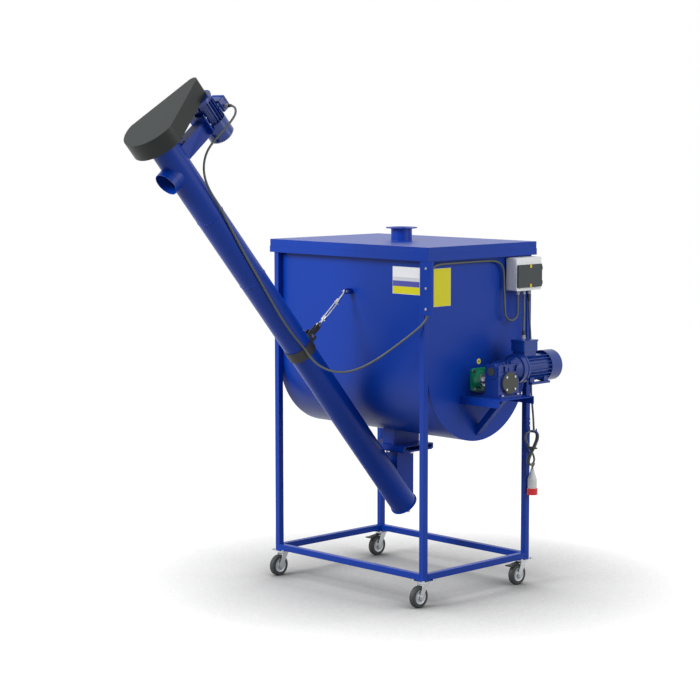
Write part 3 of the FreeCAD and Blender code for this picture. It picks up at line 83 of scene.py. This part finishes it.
def auger(across, back, along):
    """A point in auger millimetres, as a point in the frame's metres."""
    return mm(across, back * BACK.y + along * UP.y, FOOT + back * BACK.z + along * UP.z)


print("top of the tube:", [round(c, 3) for c in auger(0, 0, 2713)])

# %% [markdown]
# ## Camera
#
# A long lens a dozen metres away, a little above the lid, looking at the corner between the
# auger side and the drive end.

# %% Camera
FOCAL = 2018.52 / 700 * 36
YAW, PITCH, ROLL = 0.770577, -0.108675, -0.000956
EYE = mm(8060.45, -8235.56, 2593.64)
camera = bpy.data.objects.new("camera", bpy.data.cameras.new("camera"))
scene.collection.objects.link(camera)
scene.camera = camera
camera.data.lens = FOCAL
camera.data.sensor_width = 36
camera.data.clip_end = 60
forward = Vector((-math.cos(PITCH) * math.cos(YAW), math.cos(PITCH) * math.sin(YAW), math.sin(PITCH)))
camera.location = EYE
turn = forward.to_track_quat("-Z", "Y").to_matrix().to_4x4() @ Matrix.Rotation(ROLL, 4, "Z")
camera.matrix_world = Matrix.Translation(EYE) @ turn
print("lens", round(FOCAL, 2), "mm, eye at", [round(c, 3) for c in EYE])

# %% [markdown]
# ## Leads
#
# Each lead is a round NURBS curve along its route, from the gland it leaves to the place it
# ends. The mains lead is wound into a figure of eight: `hank_route` walks down and up through
# the two loops, and keeps the strands that go down in front of the ones that come up.

# %% Lead routes
CABLE = 12.0
GLAND_EXIT = 1678.0
AUGER_ROUTE = [auger(*p) for p in [
    (67, 427.5, 2590), (112, 427.5, 2590), (138, 396, 2568), (136, 340, 2556), (122, 270, 2548),
    (106, 195, 2540), (94, 125, 2518), (86, 66, 2462), (84, 34, 2380), (84, 29, 2260),
    (84, 12, 2110), (84, -6, 1950), (84, -17, 1790), (84, -28, 1640), (84, -38, 1500),
    (84, -36, 1370), (84, -24, 1262)]]
AUGER_ROUTE += [mm(*p) for p in [
    (100, -806, 1364), (140, -779, 1320), (196, -739, 1290), (260, -692, 1287), (330, -641, 1315),
    (400, -590, 1364), (470, -538, 1427), (545, -486, 1497), (603, -449, 1556), (620, -426, 1605),
    (626, -424, 1670), (627, -422, 1745), (626, -419, 1812), (623, -400, 1862), (614, -340, 1874),
    (612, -240, 1874), (613, -100, 1875), (612, 40, 1874), (613, 130, 1870), (616, 178, 1840),
    (618, 186, 1770), (622, 182, 1690), (626, 184, 1610), (630, 184, 1553), (636, 228, 1528),
    (643, 271, 1553), (646, 271, 1600), (645, 271, 1644), (645, 271, GLAND_EXIT)]]
MOTOR_ROUTE = [mm(*p) for p in [
    (645, 322, GLAND_EXIT), (645, 322, 1644), (655, 313, 1594), (672, 291, 1553), (695, 264, 1533),
    (718, 238, 1530), (733, 220, 1514), (742.5, 210, 1489), (742.5, 210, 1463)]]
MAINS_ROUTE = [mm(*p) for p in [
    (645, 365, GLAND_EXIT), (645, 365, 1640), (643.5, 370, 1568), (639, 386, 1462), (636, 398, 1350),
    (635, 402, 1225), (635, 403, 1110), (635, 414, 1040), (636, 424, 960)]]


def hank_route(turns, steps):
    """Two loops, one over the other. Height follows a cosine and width a sine of twice the angle."""
    centre = (635.0, 413.0, 795.0)
    half_height, half_width, sway, pitch = 98.0, 41.0, 15.6, 12.5
    first, last = 0.10 * math.pi, 2 * math.pi * turns - 0.9 * math.pi
    points = []
    for step in range(steps + 1):
        angle = first + (last - first) * step / steps
        depth = pitch * (angle / (2 * math.pi) - turns / 2) + sway * math.sin(angle)
        points.append(mm(centre[0] + depth, centre[1] + half_width * math.sin(2 * angle),
                         centre[2] + half_height * math.cos(angle)))
    return points


HANK_ROUTE = hank_route(2, 44)
MAINS_ROUTE += HANK_ROUTE + [mm(632, 420, 684), mm(635, 420, 673)]


def lead(name, points, diameter):
    """A round NURBS tube that starts and ends at its route's first and last point."""
    data = bpy.data.curves.new(name, "CURVE")
    data.dimensions = "3D"
    line = data.splines.new("NURBS")
    line.points.add(len(points) - 1)
    for place, point in zip(line.points, points):
        place.co = (*point, 1)
    line.order_u = 3
    line.use_endpoint_u = True
    line.resolution_u = 8
    data.bevel_depth = diameter / 2000
    data.bevel_resolution = 5
    data.use_fill_caps = True
    made = bpy.data.objects.new(name, data)
    scene.collection.objects.link(made)
    return made


def curve_length(obj):
    """Length of a curve's own line, measured on a copy without its thickness."""
    data = obj.data.copy()
    data.bevel_depth = 0
    probe = bpy.data.objects.new("probe", data)
    scene.collection.objects.link(probe)
    mesh = probe.evaluated_get(bpy.context.evaluated_depsgraph_get()).to_mesh()
    found = sum((mesh.vertices[e.vertices[0]].co - mesh.vertices[e.vertices[1]].co).length for e in mesh.edges)
    bpy.data.objects.remove(probe)
    return found


auger_lead = lead("auger_lead", AUGER_ROUTE, CABLE)
motor_lead = lead("motor_lead", MOTOR_ROUTE, CABLE)
mains_lead = lead("mains_lead", MAINS_ROUTE, CABLE)
for obj, node in ((auger_lead, "auger_cable"), (motor_lead, "motor_cable"), (mains_lead, "mains_cable")):
    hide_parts(node)
    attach(obj, "machine")
    print(obj.name, round(curve_length(obj), 3), "m of lead")
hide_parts("mains_hank")
curve_length(auger_lead)
curve_length(motor_lead)
curve_length(mains_lead)

# %% [markdown]
# ## Materials
#
# Every material is one principled shader, most of them with small real-scale patterns. Patterns
# read the Object coordinates, which are metres in the frame, so a scale of 1000 / size gives a
# feature of that many millimetres. Colours are given as sRGB hex and turned to linear in one place.


# %% Material helpers
def linear(hex_colour):
    """sRGB hex to linear RGB with alpha 1."""
    parts = [int(hex_colour[i:i + 2], 16) / 255 for i in (1, 3, 5)]
    return tuple(p / 12.92 if p <= 0.04045 else ((p + 0.055) / 1.055) ** 2.4 for p in parts) + (1.0,)


def add(tree, kind, **values):
    """Adds a node, sets its options and the sockets named, and links a socket given as a value."""
    made = tree.nodes.new(kind)
    for name, value in values.items():
        socket = made.inputs.get(name.replace("_", " "))
        if socket is None:
            setattr(made, name, value)
        elif isinstance(value, bpy.types.NodeSocket):
            tree.links.new(value, socket)
        else:
            socket.default_value = value
    return made


def material(name, colour, roughness, metallic=0.0, coat=0.0, grain_mm=0.0, bump_mm=0.0, vary=0.0, **more):
    """Principled material with an optional grain that shifts its colour and its surface."""
    made = bpy.data.materials.new(name)
    made.use_nodes = True
    tree = made.node_tree
    shader = tree.nodes["Principled BSDF"]
    shader.inputs["Base Color"].default_value = linear(colour)
    shader.inputs["Roughness"].default_value = roughness
    shader.inputs["Metallic"].default_value = metallic
    shader.inputs["Coat Weight"].default_value = coat
    shader.inputs["Coat Roughness"].default_value = 0.12
    for key, value in more.items():
        shader.inputs[key.replace("_", " ")].default_value = value
    if grain_mm:
        place = add(tree, "ShaderNodeTexCoord")
        noise = add(tree, "ShaderNodeTexNoise", Vector=place.outputs["Object"], Scale=1000 / grain_mm,
                    Detail=3.0)
        if vary:
            base = linear(colour)
            ramp = add(tree, "ShaderNodeValToRGB", Fac=noise.outputs["Fac"])
            ramp.color_ramp.elements[0].position = 0.3
            ramp.color_ramp.elements[1].position = 0.7
            ramp.color_ramp.elements[0].color = tuple(c * (1 - vary) for c in base[:3]) + (1,)
            ramp.color_ramp.elements[1].color = tuple(min(1, c * (1 + vary)) for c in base[:3]) + (1,)
            tree.links.new(ramp.outputs["Color"], shader.inputs["Base Color"])
        if bump_mm:
            bump = add(tree, "ShaderNodeBump", Height=noise.outputs["Fac"], Distance=bump_mm / 1000,
                       Strength=0.6)
            tree.links.new(bump.outputs["Normal"], shader.inputs["Normal"])
    return made


# %% The machine's materials
LOOKS = {
    "blue_paint": material("blue_enamel", "#00369c", 0.36, grain_mm=9, bump_mm=0.02, vary=0.03,
                           Specular_IOR_Level=0.25),
    "motor_blue": material("motor_enamel", "#00348c", 0.28, coat=0.1, grain_mm=4, bump_mm=0.03, vary=0.04),
    "gear_blue": material("cast_blue_enamel", "#002c80", 0.34, coat=0.1, grain_mm=3, bump_mm=0.12, vary=0.08),
    "steel": material("stainless_steel", "#d2d4d5", 0.28, metallic=1.0, grain_mm=2, bump_mm=0.01, vary=0.04),
    "zinc": material("zinc_plate", "#c6c9cb", 0.30, metallic=1.0, grain_mm=5, bump_mm=0.01, vary=0.10),
    "dark_cover": material("olive_black_cover", "#33362f", 0.42, grain_mm=2, bump_mm=0.03),
    "green_iron": material("green_cast_iron", "#0f9468", 0.38, coat=0.2, grain_mm=3, bump_mm=0.10, vary=0.10),
    "guard_paint": material("guard_enamel", "#0e1615", 0.40, grain_mm=4, bump_mm=0.05, vary=0.06,
                            Specular_IOR_Level=0.3),
    "tyre": material("grey_black_tyre", "#34383a", 0.6, grain_mm=2, bump_mm=0.05, vary=0.08),
    "rubber": material("black_rubber", "#1c1c1e", 0.55, grain_mm=2, bump_mm=0.05),
    "box_plastic": material("grey_enclosure", "#eef0f2", 0.42, grain_mm=1.2, bump_mm=0.03, vary=0.02),
    "smoked": material("smoked_window", "#2c3638", 0.10),
    "yellow": material("yellow_plastic", "#e2c21c", 0.35),
    "label": material("label_film", "#e9ebec", 0.3),
    "gland": material("grey_gland", "#a9aeac", 0.4),
    "black_plastic": material("black_plastic", "#1b1c1e", 0.42, grain_mm=1.5, bump_mm=0.03),
    "cable": material("grey_black_sheath", "#4b524f", 0.42, grain_mm=1.5, bump_mm=0.02),
    "plug_grey": material("plug_grey", "#d6dad9", 0.42),
    "plug_red": material("plug_red", "#dd2630", 0.36),
}
YELLOW_FILM = material("yellow_label_film", "#d8d200", 0.5)
VIOLET_FILM = material("violet_label_film", "#4a4fa6", 0.35)
WHITE_FILM = material("white_label_film", "#eef0f2", 0.3)
GREY_FILM = material("grey_label_film", "#d3d6dc", 0.35)
for subpart in frame["record"]["subparts"]:
    obj = NODES[subpart["node"]]
    obj.data.materials.clear()
    obj.data.materials.append(LOOKS[subpart["material_slot"]])
NODES["inlet_neck"].data.materials[0] = LOOKS["blue_paint"]
for obj in (auger_lead, motor_lead, mains_lead):
    obj.data.materials.append(LOOKS["cable"])
print(len(LOOKS), "materials on", len(NODES), "nodes")

# %% [markdown]
# ## Surfaces from functions
#
# Two shapes cover the small fittings: a lathe, which turns a profile of (radius, height) about
# an axis, and a ring, which carries a small circle round a big ellipse. Both work out the whole
# grid of points at once and close it on itself, so there is no seam and no open edge.


# %% Lathe, ring and film
def solid(name, points, faces, look, body="machine"):
    """Makes the mesh object, gives it its material and lets it ride on a body."""
    mesh = bpy.data.meshes.new(name)
    mesh.from_pydata([tuple(p) for p in points], [], faces)
    mesh.validate()
    made = bpy.data.objects.new(name, mesh)
    scene.collection.objects.link(made)
    made.data.materials.append(look)
    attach(made, body)
    return made


def across(axis):
    """Two unit vectors square to the axis and to each other, right-handed with it."""
    axis = Vector(axis).normalized()
    first = axis.orthogonal().normalized()
    return first, axis.cross(first), axis


def lathe(name, profile, base, axis, look, body="machine", around=48):
    """Point (i, j) is base + height_i axis + radius_i (cos j first + sin j second), closed at both ends."""
    first, second, axis = across(axis)
    radius, height = np.array(profile, dtype=float).T / 1000
    angle = np.linspace(0, 2 * np.pi, around, endpoint=False)
    rim = np.outer(np.cos(angle), first) + np.outer(np.sin(angle), second)
    points = (np.array(base) + height[:, None, None] * np.array(axis) + radius[:, None, None] * rim)
    rows = np.arange(len(radius) - 1)[:, None] * around
    here, after = np.arange(around)[None, :], np.roll(np.arange(around), -1)[None, :]
    quads = np.stack([rows + here, rows + after, rows + around + after, rows + around + here], axis=-1)
    faces = quads.reshape(-1, 4).tolist()
    faces.append(list(range(around))[::-1])
    faces.append(list(range((len(radius) - 1) * around, len(radius) * around)))
    made = solid(name, points.reshape(-1, 3), faces, look, body)
    for face in made.data.polygons:
        face.use_smooth = len(face.vertices) == 4
    return made


def ring(name, centre, axis, half_a, half_b, bead, look, body="machine", around=96, section=12,
         first=None):
    """A circle of radius bead carried round an ellipse with half axes half_a and half_b."""
    side, up, axis = across(axis)
    if first is not None:
        side = Vector(first).normalized()
        up = axis.cross(side)
    turn = np.linspace(0, 2 * np.pi, around, endpoint=False)
    small = np.linspace(0, 2 * np.pi, section, endpoint=False)
    out = np.outer(np.cos(turn), side) + np.outer(np.sin(turn), up)
    middle = half_a * np.outer(np.cos(turn), side) + half_b * np.outer(np.sin(turn), up)
    outward = np.cos(small)[None, :, None] * out[:, None]
    upward = np.sin(small)[None, :, None] * np.array(axis)
    points = np.array(centre) + (middle[:, None] + bead * (outward + upward)) / 1000
    here, after = (np.arange(around) * section)[:, None], (np.roll(np.arange(around), -1) * section)[:, None]
    low, high = np.arange(section)[None, :], np.roll(np.arange(section), -1)[None, :]
    quads = np.stack(np.broadcast_arrays(here + low, after + low, after + high, here + high), axis=-1)
    faces = quads.reshape(-1, 4).tolist()
    made = solid(name, points.reshape(-1, 3), faces, look, body)
    for face in made.data.polygons:
        face.use_smooth = True
    return made


def film(name, outline, corner, right, up, look, lift, body="machine"):
    """A flat sheet: its outline in millimetres along right and up, 0.25 mm thick, lift mm off the corner."""
    out = Vector(right).cross(Vector(up)).normalized()
    low = [corner + (Vector(right) * a + Vector(up) * b + out * lift) / 1000 for a, b in outline]
    high = [point + out * 0.25 / 1000 for point in low]
    count = len(outline)
    faces = [tuple(range(count))[::-1], tuple(range(count, 2 * count))]
    faces += [(i, (i + 1) % count, count + (i + 1) % count, count + i) for i in range(count)]
    return solid(name, low + high, faces, look, body)


# %% [markdown]
# ## Labels
#
# Printed vinyl sheets on plain plates: four plain stripes in white, grey, violet and yellow on
# the auger side, a yellow sheet on the drive end and a small yellow disc above the bearing. They carry
# fields of colour only. Each field is a thin sheet of its own, a fraction of a millimetre
# proud of the plate, so that its edge catches the light as a sticker's does.

# %% Label films
FACE_X, FACE_Y = 595.8, -403.8
sheet_corner = mm(328, FACE_Y, 1705)
RIGHT, UPWARD, TOWARDS_BACK = (1, 0, 0), (0, 0, 1), (0, 1, 0)
film("sheet_yellow", [(2, 2), (204, 2), (204, 147), (2, 147)], sheet_corner, RIGHT, UPWARD, YELLOW_FILM,
     0.02)
film("sheet_white", [(2, 92), (204, 92), (204, 147), (2, 147)], sheet_corner, RIGHT, UPWARD, WHITE_FILM,
     0.3)
film("sheet_grey", [(2, 72), (204, 72), (204, 92), (2, 92)], sheet_corner, RIGHT, UPWARD, GREY_FILM,
     0.3)
film("sheet_violet", [(2, 42), (204, 42), (204, 72), (2, 72)], sheet_corner, RIGHT, UPWARD, VIOLET_FILM,
     0.3)
film("side_yellow", [(1, 1), (147, 1), (147, 205), (1, 205)], mm(FACE_X, -374, 1643), TOWARDS_BACK, UPWARD,
     YELLOW_FILM, 0.02)
disc_turns = np.linspace(0, 2 * np.pi, 40, endpoint=False)
film("disc_yellow", [(15 * math.cos(t), 15 * math.sin(t)) for t in disc_turns], mm(FACE_X, 4, 1320),
     TOWARDS_BACK, UPWARD, YELLOW_FILM, 0.02)
film("disc_mark", [(5 * math.cos(t), 5 * math.sin(t)) for t in disc_turns], mm(FACE_X, 4, 1320),
     TOWARDS_BACK, UPWARD, LOOKS["dark_cover"], 0.3)
print("7 films on the label plates")

# %% [markdown]
# ## Welds
#
# The screw tube is rolled and butt-welded in lengths, and its spout, the filling neck and the
# trough's outlet are welded on. A weld under enamel is a soft rounded bead; the two seams of the
# tube, the guard's seat on it and the filling neck each get a ring of small section in the same
# paint, sunk to half its depth in the seam.

# %% Weld beads
BLUE = LOOKS["blue_paint"]
for number, along in enumerate((1755, 2205)):
    ring(f"tube_seam_{number + 1}", auger(0, 0, along), UP, 77, 77, 2.2, BLUE)
ring("guard_seat_weld", auger(0, 0, 2712), UP, 77, 77, 3.0, BLUE)
inlet_low, inlet_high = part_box("inlet_neck")
ring("filling_neck_weld", (*mm(0, 0, 0).xy, inlet_low.z), (0, 0, 1), 60, 60, 3.0, BLUE, "lid")
print("weld beads: 4")

# %% [markdown]
# ## Strain reliefs and the hank's tie
#
# Where a lead leaves its gland, a rubber sleeve tapers along it for about 40 mm and takes the
# bend. The wound-up mains lead is held at its waist by one turn of the same sheathing.

# %% Sleeves and tie
RUBBER = LOOKS["rubber"]
SLEEVE = ((6.4, -1), (9.4, 0), (9.2, 6), (8.4, 20), (7.4, 34), (6.4, 42))
lathe("mains_sleeve", SLEEVE, MAINS_ROUTE[0], MAINS_ROUTE[1] - MAINS_ROUTE[0], RUBBER)
SHORT_SLEEVE = ((6.4, -1), (8.8, 0), (8.4, 8), (7.4, 18), (6.4, 24))
lathe("motor_sleeve", SHORT_SLEEVE, MOTOR_ROUTE[-1], MOTOR_ROUTE[-2] - MOTOR_ROUTE[-1], RUBBER)
lathe("auger_sleeve", SHORT_SLEEVE, AUGER_ROUTE[0], AUGER_ROUTE[1] - AUGER_ROUTE[0], RUBBER)
ring("hank_tie", mm(635, 413, 795), (0, 0, 1), 36, 11.5, 4.5, LOOKS["cable"], first=(1, 0, 0))
print("3 sleeves, 1 hank tie")

# %% [markdown]
# ## Wheel rims
#
# A castor of this kind has a black rubber tyre on a pale pressed rim, with a raised hub and a
# dished face. The rim is a lathe profile on each side of the wheel, so the dish, the rounded
# lip and the hub cap come from one line. It turns with its wheel.

# %% Rims
RIM_GREY = material("zinc_plated_rim", "#b9bdc0", 0.35, metallic=0.6)
RIM = ((41, 0), (41, 2.2), (38, 2.6), (36, 1.4), (27, 0.2), (19, 0.6), (16, 3.2), (9, 3.6))
RIM_FACE = 0.0139
for number in (1, 2, 3, 4):
    low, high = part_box(f"castor_wheel_{number}")
    axle = (low + high) / 2
    for side, end in (("left", -1), ("right", 1)):
        base = axle + Vector((end * RIM_FACE, 0, 0))
        lathe(f"rim_{number}_{side}", RIM, base, (end, 0, 0), RIM_GREY, f"wheel_{number}")
print("8 rims, 2 on each castor")

# %% [markdown]
# ## Light and floor
#
# A white room: an even dome, one broad soft key from above on the auger side and a weaker one
# from the drive end. The floor is white to the camera and only darkens where the machine keeps
# the dome's light off it.

# %% World
world = bpy.data.worlds.new("white_room")
scene.world = world
world.use_nodes = True
tree = world.node_tree
tree.nodes.clear()
path = add(tree, "ShaderNodeLightPath")
seen = add(tree, "ShaderNodeBackground", Color=(1, 1, 1, 1), Strength=1.0)
dome = add(tree, "ShaderNodeBackground", Color=(1, 1, 1, 1), Strength=0.46)
mix = add(tree, "ShaderNodeMixShader")
shown = add(tree, "ShaderNodeMath", operation="MAXIMUM")
tree.links.new(path.outputs["Is Camera Ray"], shown.inputs[0])
tree.links.new(path.outputs["Is Glossy Ray"], shown.inputs[1])
through = add(tree, "ShaderNodeMath", operation="MAXIMUM")
tree.links.new(shown.outputs[0], through.inputs[0])
tree.links.new(path.outputs["Is Transmission Ray"], through.inputs[1])
tree.links.new(through.outputs[0], mix.inputs[0])
tree.links.new(dome.outputs[0], mix.inputs[1])
tree.links.new(seen.outputs[0], mix.inputs[2])
out = add(tree, "ShaderNodeOutputWorld")
tree.links.new(mix.outputs[0], out.inputs["Surface"])


def area_light(name, place, aim, size, power):
    data = bpy.data.lights.new(name, "AREA")
    data.size = size
    data.energy = power
    made = bpy.data.objects.new(name, data)
    made.location = place
    made.rotation_mode = "QUATERNION"
    made.rotation_quaternion = (Vector(aim) - Vector(place)).to_track_quat("-Z", "Y")
    scene.collection.objects.link(made)
    return made


AIM = mm(0, 0, 1200)
area_light("key", mm(-1800, -6200, 5600), AIM, 3.5, 560)
area_light("fill", mm(6000, 1500, 3800), AIM, 4.0, 170)

# %% Floor
SHADOW_POWER = 4.0
FLOOR_GLOW = 0.92
floor_data = bpy.data.meshes.new("floor")
reach = 14.0
floor_data.from_pydata([(-reach, -reach, 0), (reach, -reach, 0), (reach, reach, 0), (-reach, reach, 0)], [],
                       [(0, 1, 2, 3)])
floor = bpy.data.objects.new("floor", floor_data)
scene.collection.objects.link(floor)
white = bpy.data.materials.new("white_floor")
white.use_nodes = True
tree = white.node_tree
shader = tree.nodes["Principled BSDF"]
shader.inputs["Base Color"].default_value = (0.24, 0.24, 0.24, 1)
shader.inputs["Roughness"].default_value = 0.9
shader.inputs["Specular IOR Level"].default_value = 0.0
shade = add(tree, "ShaderNodeAmbientOcclusion", samples=16, Distance=1.6)
deepen = add(tree, "ShaderNodeMath", operation="POWER")
tree.links.new(shade.outputs["AO"], deepen.inputs[0])
deepen.inputs[1].default_value = SHADOW_POWER
glow = add(tree, "ShaderNodeEmission", Color=(1, 1, 1, 1))
strength = add(tree, "ShaderNodeMath", operation="MULTIPLY")
tree.links.new(deepen.outputs[0], strength.inputs[0])
strength.inputs[1].default_value = FLOOR_GLOW
tree.links.new(strength.outputs[0], glow.inputs["Strength"])
both = add(tree, "ShaderNodeAddShader")
tree.links.new(shader.outputs[0], both.inputs[0])
tree.links.new(glow.outputs[0], both.inputs[1])
rays = add(tree, "ShaderNodeLightPath")
camera_or_gloss = add(tree, "ShaderNodeMath", operation="MAXIMUM")
tree.links.new(rays.outputs["Is Camera Ray"], camera_or_gloss.inputs[0])
tree.links.new(rays.outputs["Is Glossy Ray"], camera_or_gloss.inputs[1])
pick = add(tree, "ShaderNodeMixShader")
tree.links.new(camera_or_gloss.outputs[0], pick.inputs[0])
tree.links.new(shader.outputs[0], pick.inputs[1])
tree.links.new(both.outputs[0], pick.inputs[2])
tree.links.new(pick.outputs[0], tree.nodes["Material Output"].inputs["Surface"])
floor_data.materials.append(white)

# %% Colour management
scene.view_settings.view_transform = "Standard"
